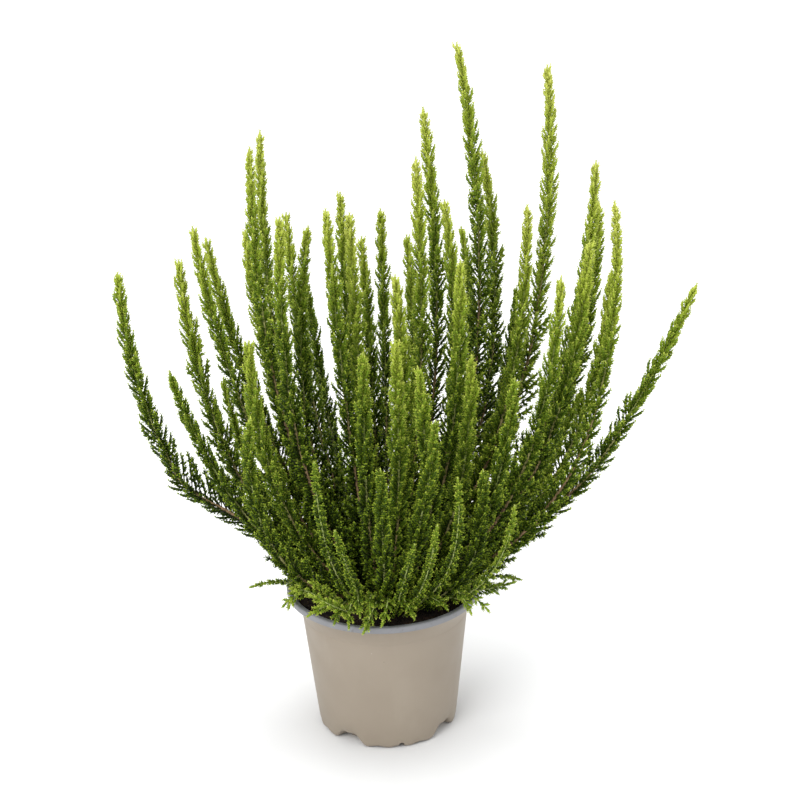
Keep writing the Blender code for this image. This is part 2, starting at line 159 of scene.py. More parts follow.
# Axes of stems and sprigs: thick and brown at the foot, fresh green towards the tip
AXIS_SIDES = 6
AXIS_STEP = 3.0
AXIS_AT_TIP = 0.3
AXIS_AT_FOOT = 1.1
AXIS_TAPER = 0.6
AXIS_UNEVEN = 0.10
FULL_AXIS_LENGTH = 180.0
YOUNG_AXIS = 0.52
SPRIG_AXIS = 0.4
YOUNG_FRESHNESS = 0.85
FRESH = (-170.0, 110.0)
IN_PEAT = 4.0
OFF_POT = 1.5

# Side shoots in pairs. Each table goes by the length from the stem's tip.
GAP_FROM_TIP = (0.0, 40.0, 120.0, 200.0)
SHOOT_GAPS = (2.4, 2.75, 3.15, 3.8)
RISE_FROM_TIP = (0.0, 70.0, 190.0)
SHOOT_RISES = (2.6, 2.3, 1.45)
SIZE_FROM_TIP = (0.0, 35.0, 120.0, 220.0)
LEAF_SIZES = (0.92, 1.0, 1.10, 1.28)
RANKS = ((0.0, 1.0), (math.pi, 1.0), (0.5 * math.pi, 0.55), (1.5 * math.pi, 0.55))
PAIR_TWIST = 0.13
PAIR_SWING = 0.25
SHOOT_SWING = 0.2
REACH_DRAW = (0.66, 1.08)
RISE_DRAW = (0.8, 1.2)
RISE_MOST = 0.92
TERMINAL = 7.0
BARE_FOOT = 6.0
OLD = (50.0, 60.0)
UPPER_GAIN = 0.9
UPPER_LIFT = 1.1
UNDER_LOSS = 0.45
SHOOT_BEND = (0.76, 0.38)

# Twigs on the long side shoots. A taper is a size at the root and its loss towards the tip.
LONG_SHOOT = 17.0
TWIG_GAP = 3.4
TWIG_COVER = 0.72
TWIG_SPAN = (0.22, 0.70)
TWIG_LENGTH = 3.6
TWIG_DRAW = (0.7, 1.2)
TWIG_BEND = (0.42, 0.25)
TWIG_END = (0.68, 0.74)
TWIG_TAPER = (1.15, 0.75)
TWIG_LEAF = 0.86
# Twigs darker near the stem and paler further out along their shoot, as painted shade
TWIG_PAINTED_SHADE_RISE = 0.10

# Scale leaves and the thin axis that carries them
LEAF_FROM_SHARE = 0.22
LEAF_TO_SHARE = 0.94
LEAF_GAP = 1.0
LEAF_LENGTH = 1.85
LEAF_WIDTH = 0.6
LEAF_DEPTH = 0.4
LEAF_DRAW = (0.82, 1.18)
WIDEST_AT = 0.5
LEAF_FROM_AXIS = 0.32
LEAF_SWING = 0.3
LEAF_TAPER = (1.05, 0.25)
SPREAD_AT_ROOT = math.radians(44.0)
SPREAD_AT_END = math.radians(30.0)
SPREAD_SWING = 0.16
SPINE_RINGS = ((0.0, 0.35), (0.78, 1.0))
SPINE_END = 0.99

# Tones from 0, dark, to 1, pale, which the leaf material turns into colours
STEM_TONE = 0.290
TONE_BY_DEPTH = 0.0003
TONE_SWING = 0.08
OUTER_GAIN = 0.04
OUTER = (50.0, 60.0)
YOUNG_GAIN = 0.03
OLD_GAIN = 0.14
OLD_FADE = 130.0
TIP_FADE = 45.0
YOUNG_TIP_FADE = 20.0
# Leaves paler higher in the plant: partly painted light, partly older, darker leaves low down
HIGH_LIGHT_AND_AGE_GAIN = 0.18
HIGH = (130.0, 200.0)
SHOOT_TONE_SWING = 0.035
# Leaves darker near a shoot's root and paler at its end: painted shade inside the plume, painted light on
# its outside
SHOOT_PAINTED_SHADE_RISE = 0.46
LEAF_TONE_SWING = 0.05
# Painted shade at each leaf's root and a painted highlight at its tip, for root, tip and both sides
LEAF_CORNER_SHADE_AND_HIGHLIGHT = (-0.30, 0.22, 0.03, 0.03)
# How much darker the shoots' axes are than their leaves: painted shade in the gaps
SPINE_PAINTED_SHADE = (0.12, 0.22)
# Paler tips on taller stems: young growth, plus painted glow for light through the leaves, more so the
# higher the tip
TIP_HEIGHTS = (250.0, 345.0)
TIP_YOUTH_AND_GLOW_GAINS = (0.10, 0.44)

# A stem's own leafy end: its length, number of steps and size of leaves
COLUMN = (90.0, 10, 1.2)
FRONT_COLUMN = (45.0, 6, 1.1)
YOUNG_COLUMN = (22.0, 4, 1.0)
COLUMN_SHARE = 0.8
COLUMN_TAPER = 0.2
FRONT = -40.0
STYLE_SEED = 900
STEM_SEED = 300

# Colours, all linear. In a ramp each one follows its place from 0 to 1.
LEAF_RAMP = (
    (0.0, (0.012, 0.024, 0.002)),
    (0.22, (0.046, 0.088, 0.004)),
    (0.42, (0.160, 0.248, 0.015)),
    (0.60, (0.345, 0.436, 0.040)),
    (0.80, (0.455, 0.530, 0.076)),
    (1.0, (0.570, 0.610, 0.130)),
)
OLD_BARK = ((0.3, (0.140, 0.080, 0.036)), (0.7, (0.430, 0.285, 0.145)))
FRESH_BARK = ((0.3, (0.270, 0.340, 0.080)), (0.7, (0.490, 0.560, 0.190)))
DARK_PEAT = ((0.35, (0.004, 0.003, 0.002)), (0.72, (0.026, 0.016, 0.010)))
BROWN_PEAT = ((0.38, (0.012, 0.007, 0.004)), (0.75, (0.095, 0.045, 0.022)))
TAUPE = ((0.3, (0.262, 0.217, 0.165)), (0.7, (0.284, 0.237, 0.182)))
RUBBED_TAUPE = (0.312, 0.266, 0.208)
PALE_SPECK = (0.50, 0.46, 0.40)
DARK_SPECK = (0.13, 0.105, 0.080)
GREY = ((0.3, (0.182, 0.184, 0.196)), (0.7, (0.222, 0.224, 0.236)))
PEAT_DUST = (0.130, 0.115, 0.105)
FLOOR_WHITE = (0.74, 0.74, 0.74)
SKY = (0.98, 0.99, 1.0)

# Lamps: name, direction from the plant, strength, and width in degrees
LAMPS = (("key_light", (-0.45, -0.80, 0.9), 1.3, 30.0), ("top_light", (0.05, 0.10, 1.0), 2.0, 40.0))
SKY_STRENGTH = 1.08
FLOOR_HALF_METRES = 6.0

# The camera stands where the photograph was taken from
CAMERA_PITCH = math.radians(23.5)
CAMERA_ROLL = math.radians(1.6)
RIM_AWAY = 1477.0
RIM_IN_PHOTO = (384.0, 581.0)
PHOTO_SIZE = 800.0
FOCAL_PIXELS = 2400.0
SENSOR = 36.0

Stem = namedtuple("Stem", "name tip knee low", defaults=(None,))

# Each stem's tip as x, y, z and its knee, halfway up, as x, z. Two have a low point too, as x, z.
STEMS = [Stem(*row) for row in (
    ("left_a", (-149, 0, 301), (-123, 170), (-84, 138)),
    ("left_b", (-116, 30, 297), (-96, 182)),
    ("left_c", (-121, -20, 246), (-94, 170)),
    ("left_d", (-104, 0, 328), (-83, 221)),
    ("left_e", (-99, 25, 312), (-76, 216)),
    ("left_f", (-79, 80, 297), (-66, 205)),
    ("left_g", (-72, -45, 274), (-65, 190)),
    ("left_h", (-97, 70, 203), (-82, 150)),
    ("left_i", (-71, -85, 243), (-70, 170)),
    ("tall_a", (-63, 15, 380), (-58, 232)),
    ("tall_b", (-68, -10, 378), (-62, 243)),
    ("tall_c", (52, 65, 415), (62, 239)),
    ("tall_d", (106, 75, 397), (95, 228)),
    ("mid_a", (-51, -45, 348), (-50, 226)),
    ("mid_b", (-54, 90, 304), (-45, 210)),
    ("mid_c", (-39, 50, 309), (-46, 205)),
    ("mid_d", (-46, 125, 256), (-35, 176)),
    ("mid_e", (-26, -25, 345), (-19, 224)),
    ("mid_f", (-19, 40, 333), (-15, 215)),
    ("mid_g", (-13, -10, 337), (-10, 212)),
    ("mid_h", (-7, 20, 312), (-3, 205)),
    ("mid_i", (-7, -75, 277), (-8, 188)),
    ("mid_j", (4, 110, 298), (4, 186)),
    ("mid_k", (12, -30, 306), (15, 205)),
    ("mid_l", (11, -85, 288), (11, 192)),
    ("mid_m", (20, 125, 275), (22, 184)),
    ("mid_n", (31, 45, 382), (36, 240)),
    ("mid_o", (26, 10, 363), (26, 234)),
    ("mid_p", (42, 15, 335), (45, 220)),
    ("mid_q", (67, 90, 341), (71, 214)),
    ("mid_r", (55, 135, 276), (58, 177)),
    ("mid_s", (49, -50, 321), (42, 205)),
    ("right_a", (92, 45, 320), (80, 205)),
    ("right_b", (89, 110, 244), (74, 168)),
    ("right_c", (131, 25, 353), (108, 211)),
    ("right_d", (136, 60, 316), (118, 200)),
    ("right_e", (122, -40, 327), (100, 202)),
    ("right_f", (105, -54, 311), (87, 195)),
    ("right_g", (137, -28, 346), (124, 201)),
    ("right_h", (140, 20, 286), (118, 180)),
    ("right_i", (187, -10, 288), (135, 180), (92, 131)),
    ("right_j", (123, 40, 200), (92, 142)),
    ("right_k", (77, -85, 263), (63, 175)),
    ("front_a", (54, -60, 267), (47, 180)),
    ("front_b", (23, -110, 282), (28, 195)),
    ("front_c", (31, -105, 248), (25, 178)),
    ("front_d", (-36, -95, 220), (-32, 155)),
    ("front_e", (-26, -95, 177), (-19, 136)),
    ("front_f", (44, -95, 208), (42, 150)),
    ("front_g", (32, -100, 181), (26, 138)),
    ("front_h", (19, -95, 167), (12, 130)),
    ("front_i", (77, -75, 180), (67, 132)),
    ("front_j", (59, -80, 205), (55, 146)),
    ("front_k", (1, -105, 219), (1, 156)),
    ("low_a", (-82, -17, 101), (-63, 102)),
    ("low_b", (-44, -55, 124), (-30, 106)),
    ("low_c", (-11, -69, 97), (-9, 101)),
    ("low_d", (84, -17, 101), (66, 102)),
)]

# Stems whose side shoots are longer or shorter than most, and by how much
FULLNESS = {
    "left_a": 1.08, "left_b": 1.12, "left_g": 1.08, "right_c": 0.95, "right_g": 0.8,
    "mid_k": 1.15, "tall_a": 0.85, "tall_b": 0.8,
}

# Young stems in front, slim and with a pale axis, and those that are brighter than the rest
YOUNG = ["front_" + letter for letter in "defghi"] + ["low_" + letter for letter in "abcd"]
YOUNG_FULLNESS = 0.62
YOUNG_RISE = 0.65
YOUNG_LEAF = 0.96
YOUNG_TIP_GAIN = 0.14
BRIGHTER = {"low_b": 0.16, "front_g": 0.08, "front_i": 0.08}

Style = namedtuple("Style", "turn gap reach rise leaf tone pale young column")

# How a sprig differs from the stem that it grows with
SPRIG_STYLE = {
    "gap": 1.05, "reach": 1.2, "rise": 0.5, "leaf": 0.9, "pale": True, "young": YOUNG_TIP_GAIN,
    "column": (9.0, 2, 0.9),
}
SPRIG_GAIN = 0.10

# Sprigs low in the plant, by the stem that they grow with: the points of each, from its root to its tip
SPRIGS = {
    "low_a": [
        [(-40, -22, 98), (-55, -27, 99), (-62, -31, 94)],
        [(-42, -6, 100), (-54, -9, 104), (-62, -12, 112)],
        [(-40, -28, 104), (-52, -34, 106), (-58, -38, 96)],
    ],
    "low_b": [
        [(-14, -46, 98), (-26, -60, 108), (-44, -66, 122)],
        [(-26, -42, 98), (-36, -54, 106), (-46, -62, 104)],
        [(-34, -36, 96), (-46, -44, 112), (-56, -52, 118)],
    ],
    "low_c": [
        [(-6, -46, 100), (-6, -62, 109), (-13, -69, 95)],
        [(-12, -46, 104), (-20, -61, 109), (-21, -68, 98)],
        [(0, -44, 106), (2, -60, 110), (-2, -68, 99)],
        [(-20, -40, 100), (-26, -56, 106), (-30, -64, 99)],
        [(-14, -44, 112), (-15, -60, 116), (-14, -69, 106)],
        [(-4, -48, 108), (-8, -60, 114), (-8, -68, 108)],
        [(6, -42, 104), (12, -56, 111), (18, -64, 101)],
    ],
    "front_h": [[(22, -40, 100), (31, -52, 108), (38, -60, 105)]],
    "front_f": [[(30, -32, 104), (44, -45, 110), (52, -53, 97)]],
    "low_d": [
        [(44, -26, 100), (60, -30, 102), (80, -32, 108)],
        [(46, -12, 102), (62, -18, 98), (70, -22, 94)],
        [(40, -36, 103), (54, -44, 104), (63, -50, 97)],
    ],
    "right_j": [[(48, 4, 100), (62, 2, 104), (72, -4, 114)]],
    "left_h": [[(-48, 12, 100), (-60, 12, 104), (-68, 8, 115)]],
}


# The ways of the stems
def base_point(stem):
    """Where a stem leaves the peat: on the tip's side of the pot, further out for one that leans flatter."""
    x, y, z = stem.tip
    reach = math.hypot(x, y)
    lean = math.hypot(stem.knee[0], KNEE_BACK * y) / (stem.knee[1] - SOIL_TOP)
    radius = min(BASE_MOST, BASE_LEAST + BASE_SHARE * lean)
    if z < LOW_SPRIG_TIP:
        radius = LOW_SPRIG_BASE
    return np.array([x / reach * radius, y / reach * radius, SOIL_TOP])


def smooth_through(points):
    """A fine polyline that runs smoothly through the points, straighter above each one than below it."""
    chords = np.diff(points, axis=0)
    lengths = np.linalg.norm(chords, axis=1)[:, None]
    ways = chords / lengths
    inner = (1.0 - UPPER_SHARE) * ways[:-1] + UPPER_SHARE * ways[1:]
    inner /= np.linalg.norm(inner, axis=1, keepdims=True)
    tangents = np.concatenate([[2.0 * ways[0] - inner[0]], inner, [2.0 * ways[-1] - inner[-1]]])
    t = np.linspace(0.0, 1.0, CURVE_SAMPLES)[:, None]
    pieces = []
    for k in range(len(chords)):
        start, end = tangents[k] * lengths[k], tangents[k + 1] * lengths[k]
        pieces.append(
            (2 * t ** 3 - 3 * t ** 2 + 1) * points[k] + (t ** 3 - 2 * t ** 2 + t) * start
            + (3 * t ** 2 - 2 * t ** 3) * points[k + 1] + (t ** 3 - t ** 2) * end
        )
    return np.concatenate([pieces[0]] + [piece[1:] for piece in pieces[1:]])


def stem_curve(stem):
    """Points evenly along a stem, from the top of the peat through its knee to its tip."""
    back = stem.tip[1]
    points = [base_point(stem)]
    if stem.low:
        points.append((stem.low[0], LOW_BACK * back, stem.low[1]))
    points += [(stem.knee[0], KNEE_BACK * back, stem.knee[1]), stem.tip]
    fine = smooth_through(np.array(points, float))
    return along(fine, np.linspace(0.0, line_length(fine), SAMPLES))


def line_length(line):
    return np.linalg.norm(np.diff(line, axis=0), axis=1).sum()


def closeness(points):
    """The distance from each point to each other one."""
    squares = (points ** 2).sum(1)
    return np.sqrt(np.maximum(squares[:, None] + squares[None, :] - 2.0 * points @ points.T, 0.0))


def lowest(points):
    """The least height at each point that keeps a stem clear of the peat and the lip."""
    radius = np.hypot(points[..., 0], points[..., 1])
    lip_top = POT_HEIGHT + CORE_MOST + LIP_CLEARANCE
    ramp = np.interp(radius, (LIP_INNER - LIP_APPROACH, LIP_INNER), (SOIL_TOP, lip_top))
    return np.where(radius > LIP_OUTER, lip_top - (radius - LIP_OUTER), ramp)


def wanted_clearance(axes):
    """How far each point of each axis keeps from other stems: less at the bare foot than higher up."""
    lengths = np.array([line_length(axis) for axis in axes])
    from_base = np.outer(lengths, np.linspace(0.0, 1.0, SAMPLES))
    share = np.minimum(from_base / CLEARANCE_GROWTH, 1.0)
    return (FOOT_CLEARANCE + (STEM_CLEARANCE - FOOT_CLEARANCE) * share).reshape(-1)


def bend_clear(axes):
    """Pushes the stems' axes apart, a little at a time, until they keep clear of each other."""
    stems = len(axes)
    owner = np.repeat(np.arange(stems), SAMPLES)
    room = wanted_clearance(axes)
    for _ in range(BEND_ROUNDS):
        points = axes.reshape(-1, 3)
        near = closeness(points)
        first, second = np.nonzero((near < STEM_CLEARANCE) & (owner[:, None] != owner[None, :]))
        apart = points[first] - points[second]
        gap = np.linalg.norm(apart, axis=1, keepdims=True) + 1e-6
        lacking = np.maximum(0.5 * (room[first] + room[second])[:, None] - gap, 0.0)
        move = np.zeros_like(points)
        np.add.at(move, first, BEND_STEP * lacking / gap * apart)
        size = np.linalg.norm(move, axis=1, keepdims=True)
        move *= np.minimum(1.0, BEND_MOST / np.maximum(size, 1e-6))
        move[:, 2] *= BEND_UPWARDS
        move = move.reshape(stems, SAMPLES, 3)
        move[:, 0, 2] = 0.0
        eased = move.copy()
        eased[:, 1:-1] = 0.25 * move[:, :-2] + 0.5 * move[:, 1:-1] + 0.25 * move[:, 2:]
        axes += eased
        axes[..., 2] = np.maximum(axes[..., 2], lowest(axes))
    return axes


def along(axis, lengths):
    """Points at the given lengths from the base of a polyline."""
    steps = np.linalg.norm(np.diff(axis, axis=0), axis=1)
    marks = np.concatenate([[0.0], np.cumsum(steps)])
    return np.stack([np.interp(lengths, marks, axis[:, k]) for k in range(3)], axis=1)


def frames(heading):
    """Two directions square to each heading along a stem, carried along without twisting."""
    side = np.array([1.0, 0.0, 0.0])
    sides = []
    for one in heading:
        side = unit(side - one * (side @ one))
        sides.append(side)
    return np.array(sides), np.cross(heading, sides)


def shoot_reach(from_tip):
    """How far a side shoot stands out of a stem, at a length from the stem's tip."""
    young = SHOOT_AT_TIP + (SHOOT_REACH - SHOOT_AT_TIP) * (1.0 - np.exp(-from_tip / SHOOT_GROWTH))
    old = OLD_SHOOT_GROWTH * np.maximum(from_tip - OLD_SHOOT_START, 0.0)
    return np.minimum(young + old, SHOOT_MOST)


def unit(vectors):
    return vectors / np.maximum(np.linalg.norm(vectors, axis=-1, keepdims=True), 1e-9)


def soft_step(value, start, over):
    """From 0 at the start to 1 past the length given after it, with soft ends."""
    share = np.clip((value - start) / over, 0.0, 1.0)
    return share * share * (3.0 - 2.0 * share)


# Meshes
def placed(name, data):
    """A new object in the scene."""
    thing = bpy.data.objects.new(name, data)
    bpy.context.scene.collection.objects.link(thing)
    return thing


def piece(name, points, faces, materials, slot, picks=None, tones=None):
    """A shown piece from points in millimetres, with a material for each face and a tone for each point."""
    mesh = bpy.data.meshes.new(name)
    faces = [np.asarray(face, np.int32) for face in faces]
    corners = np.concatenate([face.ravel() for face in faces])
    sizes = np.concatenate([np.full(len(face), face.shape[1], np.int32) for face in faces])
    mesh.vertices.add(len(points))
    mesh.vertices.foreach_set("co", (np.asarray(points) * MM).astype(np.float32).ravel())
    mesh.loops.add(len(corners))
    mesh.loops.foreach_set("vertex_index", corners)
    mesh.polygons.add(len(sizes))
    mesh.polygons.foreach_set("loop_start", (np.cumsum(sizes) - sizes).astype(np.int32))
    for material in materials:
        mesh.materials.append(material)
    mesh.update(calc_edges=True)
    if picks is not None:
        mesh.polygons.foreach_set("material_index", picks.astype(np.int32))
        made = mesh.attributes.new("tone", "FLOAT", "POINT")
        made.data.foreach_set("value", tones.astype(np.float32))
    thing = placed(name, mesh)
    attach(thing, "root")
    return thing


def smooth(thing, degrees=40.0):
    """Shades a piece smoothly, but for edges sharper than the angle."""
    thing.data.shade_smooth()
    thing.data.set_sharp_from_angle(angle=math.radians(degrees))


class Gather:
    """Collects many small forms into one mesh."""

    def __init__(self):
        self.points, self.triangles, self.tones, self.picks = [], [], [], []
        self.count = 0

    def add(self, points, triangles, tones, pick):
        self.points.append(points)
        self.triangles.append(triangles + self.count)
        self.tones.append(tones)
        self.picks.append(np.full(len(triangles), pick))
        self.count += len(points)

    def made(self, name, materials, slot):
        parts = (self.points, self.triangles, self.tones, self.picks)
        points, triangles, tones, picks = map(np.concatenate, parts)
        return piece(name, points, [triangles], materials, slot, picks, tones)


# Shoots: arrays of curves with a start, a bend and an end, and what their leaves are like
Shoots = namedtuple("Shoots", "start bend end side size tone close")


def together(groups):
    """Several groups of shoots as one."""
    return Shoots(*[np.concatenate(parts) for parts in zip(*groups)])


def shoot_places(length, gap):
    """Where pairs of side shoots grow along a stem, closer together at the tip."""
    places = []
    from_tip = TERMINAL
    while from_tip < length - BARE_FOOT:
        places.append(length - from_tip)
        from_tip += gap * np.interp(from_tip, GAP_FROM_TIP, SHOOT_GAPS)
    return np.array(places[::-1])


def on_curves(shoots, which, share):
    """The point and the heading at a share of the way along the shoots picked."""
    share = np.reshape(share, (-1, 1))
    start, bend, end = shoots.start[which], shoots.bend[which], shoots.end[which]
    point = (1.0 - share) ** 2 * start + 2.0 * share * (1.0 - share) * bend + share ** 2 * end
    return point, unit((1.0 - share) * (bend - start) + share * (end - bend))


def curve_lengths(shoots):
    first = np.linalg.norm(shoots.bend - shoots.start, axis=1)
    return first + np.linalg.norm(shoots.end - shoots.bend, axis=1)


def spread_out(counts):
    """For rows with that many members: the row of every member, and its place there."""
    which = np.repeat(np.arange(len(counts)), counts)
    return which, np.arange(counts.sum()) - np.repeat(np.cumsum(counts) - counts, counts)


def across_ways(way, side, turn):
    """A direction square to each way, turned about it from the side given."""
    first = unit(np.cross(way, side))
    second = np.cross(way, first)
    return first * np.cos(turn)[:, None] + second * np.sin(turn)[:, None]


def shade(style, from_tip, height):
    """How bright the leaves are: palest at the tips, where young growth is paler and a painted glow is
    added, dark on old wood, and darker low in the plant, partly as painted shade.
    """
    fade = YOUNG_TIP_FADE if style.pale else TIP_FADE
    gain = style.young * np.exp(-from_tip / fade) + OLD_GAIN * np.exp(-from_tip / OLD_FADE)
    return style.tone + gain + HIGH_LIGHT_AND_AGE_GAIN * soft_step(height, *HIGH)


def lopsided(reach, heading, out, from_tip):
    """The reach of shoots on old leaning wood, longer on its upper side, and how far each one lifts."""
    lean = soft_step(from_tip, *OLD) * np.sqrt(np.clip(1.0 - heading[:, 2] ** 2, 0.0, 1.0))
    upper = lean * np.clip(out[:, 2], 0.0, 1.0)
    under = lean * np.clip(-out[:, 2], 0.0, 1.0)
    reach = reach * (1.0 + UPPER_GAIN * upper - UNDER_LOSS * under)
    return reach, UPPER_LIFT * reach * upper


def side_shoots(axis, style, draw):
    """Pairs of side shoots along a stem, each pair square to the last."""
    length = line_length(axis)
    places = shoot_places(length, style.gap)
    from_tip = length - places
    middle = along(axis, places)
    heading = along(axis, np.minimum(places + 1.0, length)) - along(axis, np.maximum(places - 1.0, 0.0))
    heading = unit(heading)
    side, across = frames(heading)
    count = len(places)
    turn = style.turn + (0.5 * math.pi + PAIR_TWIST) * np.arange(count)
    turn += draw.uniform(-PAIR_SWING, PAIR_SWING, count)
    steep = np.interp(from_tip, RISE_FROM_TIP, SHOOT_RISES)
    size = style.leaf * np.interp(from_tip, SIZE_FROM_TIP, LEAF_SIZES)
    found = []
    for quarter, part in RANKS[:2] if style.pale else RANKS:
        angle = turn + quarter + draw.uniform(-SHOOT_SWING, SHOOT_SWING, count)
        out = side * np.cos(angle)[:, None] + across * np.sin(angle)[:, None]
        reach = part * style.reach * shoot_reach(from_tip) * draw.uniform(*REACH_DRAW, count)
        rise = style.rise * reach * steep * draw.uniform(*RISE_DRAW, count)
        rise = np.minimum(rise, RISE_MOST * from_tip)[:, None]
        reach, lift = lopsided(reach, heading, out, from_tip)
        reach = reach[:, None]
        end = middle + reach * out + rise * heading
        end[:, 2] += lift
        bend = middle + SHOOT_BEND[0] * reach * out + SHOOT_BEND[1] * rise * heading
        tone = shade(style, from_tip, middle[:, 2]) + draw.normal(0.0, SHOOT_TONE_SWING, count)
        found.append(Shoots(middle, bend, end, across, size, tone, np.ones(count)))
    return together(found)


def top_shoots(axis, style):
    """A stem's own leafy end, as a row of short straight shoots."""
    length = line_length(axis)
    span, steps, size = style.column
    ends = np.linspace(length - min(span, COLUMN_SHARE * length), length, steps + 1)
    start, end = along(axis, ends[:-1]), along(axis, ends[1:])
    start = start - LEAF_FROM_SHARE / (1.0 - LEAF_FROM_SHARE) * (end - start)
    side = np.tile([0.0, 1.0, 0.0], (len(start), 1))
    share = np.linspace(0.0, 1.0, len(start))
    size = style.leaf * (size - COLUMN_TAPER * share)
    close = np.where(share < 1.0, 0.0, 1.0)
    tone = shade(style, (1.0 - share) * (length - ends[0]), end[:, 2])
    return Shoots(start, 0.5 * (start + end), end, side, size, tone, close)


def twigs(parents, draw):
    """Short shoots in pairs along the side shoots that are long."""
    lengths = curve_lengths(parents)
    counts = np.where(lengths > LONG_SHOOT, np.round(TWIG_COVER * lengths / TWIG_GAP), 0).astype(int)
    which, order = spread_out(counts)
    share = TWIG_SPAN[0] + TWIG_SPAN[1] * (order + 0.5) / counts[which]
    point, way = on_curves(parents, which, share)
    found = []
    for opposite in (0.0, math.pi):
        turn = 0.5 * math.pi * order + opposite + draw.uniform(-LEAF_SWING, LEAF_SWING, len(which))
        out = across_ways(way, parents.side[which], turn)
        long = TWIG_LENGTH * (TWIG_TAPER[0] - TWIG_TAPER[1] * share) * draw.uniform(*TWIG_DRAW, len(which))
        long = long[:, None]
        end = point + long * (TWIG_END[0] * out + TWIG_END[1] * way)
        bend = point + long * (TWIG_BEND[0] * out + TWIG_BEND[1] * way)
        # Painted shade: twigs near the stem darker than those further out
        tone = parents.tone[which] + TWIG_PAINTED_SHADE_RISE * (share - 0.4)
        size = TWIG_LEAF * parents.size[which]
        found.append(Shoots(point, bend, end, way, size, tone, np.ones(len(which))))
    return together(found)


def leaf_points(point, way, face, size):
    """Root, tip and both sides of leaves that are folded along their keel."""
    long = (LEAF_LENGTH * size)[:, None]
    widest = point + WIDEST_AT * long * way - (LEAF_DEPTH * size)[:, None] * face
    half = 0.5 * LEAF_WIDTH * long * np.cross(way, face)
    return np.stack([point, point + long * way, widest + half, widest - half], axis=1).reshape(-1, 3)


def add_spines(gather, shoots):
    """The thin axis of each shoot, three-sided, pointed and darker than its leaves, as painted shade in the
    gaps between them.
    """
    number = len(shoots.start)
    every = np.arange(number)
    rings = []
    for share, radius in SPINE_RINGS:
        point, way = on_curves(shoots, every, share)
        for turn in 2.0 * math.pi * np.arange(3) / 3.0:
            rings.append(point + radius * across_ways(way, shoots.side, np.full(number, turn)))
    tip, _ = on_curves(shoots, every, SPINE_END)
    corners = np.stack(rings + [tip], axis=1).reshape(-1, 3)
    faces = [[0, 2, 1]]
    for j in range(3):
        after = (j + 1) % 3
        faces += [[j, after, 3 + after], [j, 3 + after, 3 + j], [3 + j, 3 + after, 6]]
    triangles = (7 * every[:, None, None] + np.array(faces)).reshape(-1, 3)
    # Painted shade: each axis darker than its leaves
    tone = shoots.tone - SPINE_PAINTED_SHADE[0] - SPINE_PAINTED_SHADE[1] * (1.0 - shoots.tone)
    gather.add(corners, triangles, np.repeat(tone, 7), 0)


def add_leaves(gather, shoots, draw):
    """The thin axis of each shoot, and scale leaves in crossed pairs along it."""
    add_spines(gather, shoots)
    leafy = (1.0 - LEAF_FROM_SHARE) * curve_lengths(shoots)
    counts = np.maximum(np.round(leafy / (LEAF_GAP * shoots.size)), 2).astype(int)
    which, order = spread_out(counts)
    number = len(which)
    span = LEAF_TO_SHARE - LEAF_FROM_SHARE
    share = LEAF_FROM_SHARE + span * (order + 0.5) / (counts[which] - 0.5)
    point, heading = on_curves(shoots, which, share)
    closed = shoots.close[which] * share ** 3
    triangles = (4 * np.arange(number)[:, None, None] + np.array([[0, 2, 1], [0, 1, 3]])).reshape(-1, 3)
    for opposite in (0.0, math.pi):
        turn = 0.5 * math.pi * order + opposite + draw.uniform(-LEAF_SWING, LEAF_SWING, number)
        out = across_ways(heading, shoots.side[which], turn)
        spread = SPREAD_AT_ROOT + (SPREAD_AT_END - SPREAD_AT_ROOT) * closed
        spread += draw.uniform(-SPREAD_SWING, SPREAD_SWING, number)
        cos, sin = np.cos(spread)[:, None], np.sin(spread)[:, None]
        size = shoots.size[which] * draw.uniform(*LEAF_DRAW, number)
        size *= LEAF_TAPER[0] - LEAF_TAPER[1] * closed
        corners = leaf_points(
            point + LEAF_FROM_AXIS * out, cos * heading + sin * out, cos * out - sin * heading, size,
        )
        # Painted shade: leaves darker near the stem, paler towards the shoot's lit end
        tone = shoots.tone[which] + SHOOT_PAINTED_SHADE_RISE * (share - 0.55)
        tone += draw.normal(0.0, LEAF_TONE_SWING, number)
        # Each leaf's corners carry painted shade at its root and a painted highlight at its tip
        gather.add(corners, triangles, (tone[:, None] + np.array(LEAF_CORNER_SHADE_AND_HIGHLIGHT)).ravel(), 0)


def closed_rings(rings, foot, top):
    """Points and faces of rings of equal length, closed by a point at each end."""
    count, steps = len(rings), len(rings[0])
    points = np.concatenate([*rings, [foot], [top]])
    j = np.arange(steps)
    after = (j + 1) % steps
    square = np.stack([j, after, steps + after, steps + j], axis=1)
    quads = np.concatenate([k * steps + square for k in range(count - 1)])
    first = np.stack([np.full(steps, count * steps), after, j], axis=1)
    last = np.stack([j, after, np.full(steps, steps + 1)], axis=1) + (count - 1) * steps
    return points, [quads, np.concatenate([first, last])]


def add_tube(gather, points, radii, tones, pick, draw):
    """A closed tube through the points, a little uneven, with six sides."""
    side, across = frames(unit(np.gradient(points, axis=0)))
    angles = (2.0 * math.pi * np.arange(AXIS_SIDES) / AXIS_SIDES)[None, :, None]
    swing = draw.uniform(-AXIS_UNEVEN, AXIS_UNEVEN, (len(points), AXIS_SIDES))
    uneven = radii[:, None] * (1.0 + swing)
    out = side[:, None, :] * np.cos(angles) + across[:, None, :] * np.sin(angles)
    rings = points[:, None, :] + uneven[:, :, None] * out
    corners, (quads, ends) = closed_rings(rings, points[0], points[-1])
    triangles = np.concatenate([quads[:, :3], quads[:, [0, 2, 3]], ends])
    every = np.concatenate([np.repeat(tones, AXIS_SIDES), tones[:1], tones[-1:]])
    gather.add(corners, triangles, every, pick)


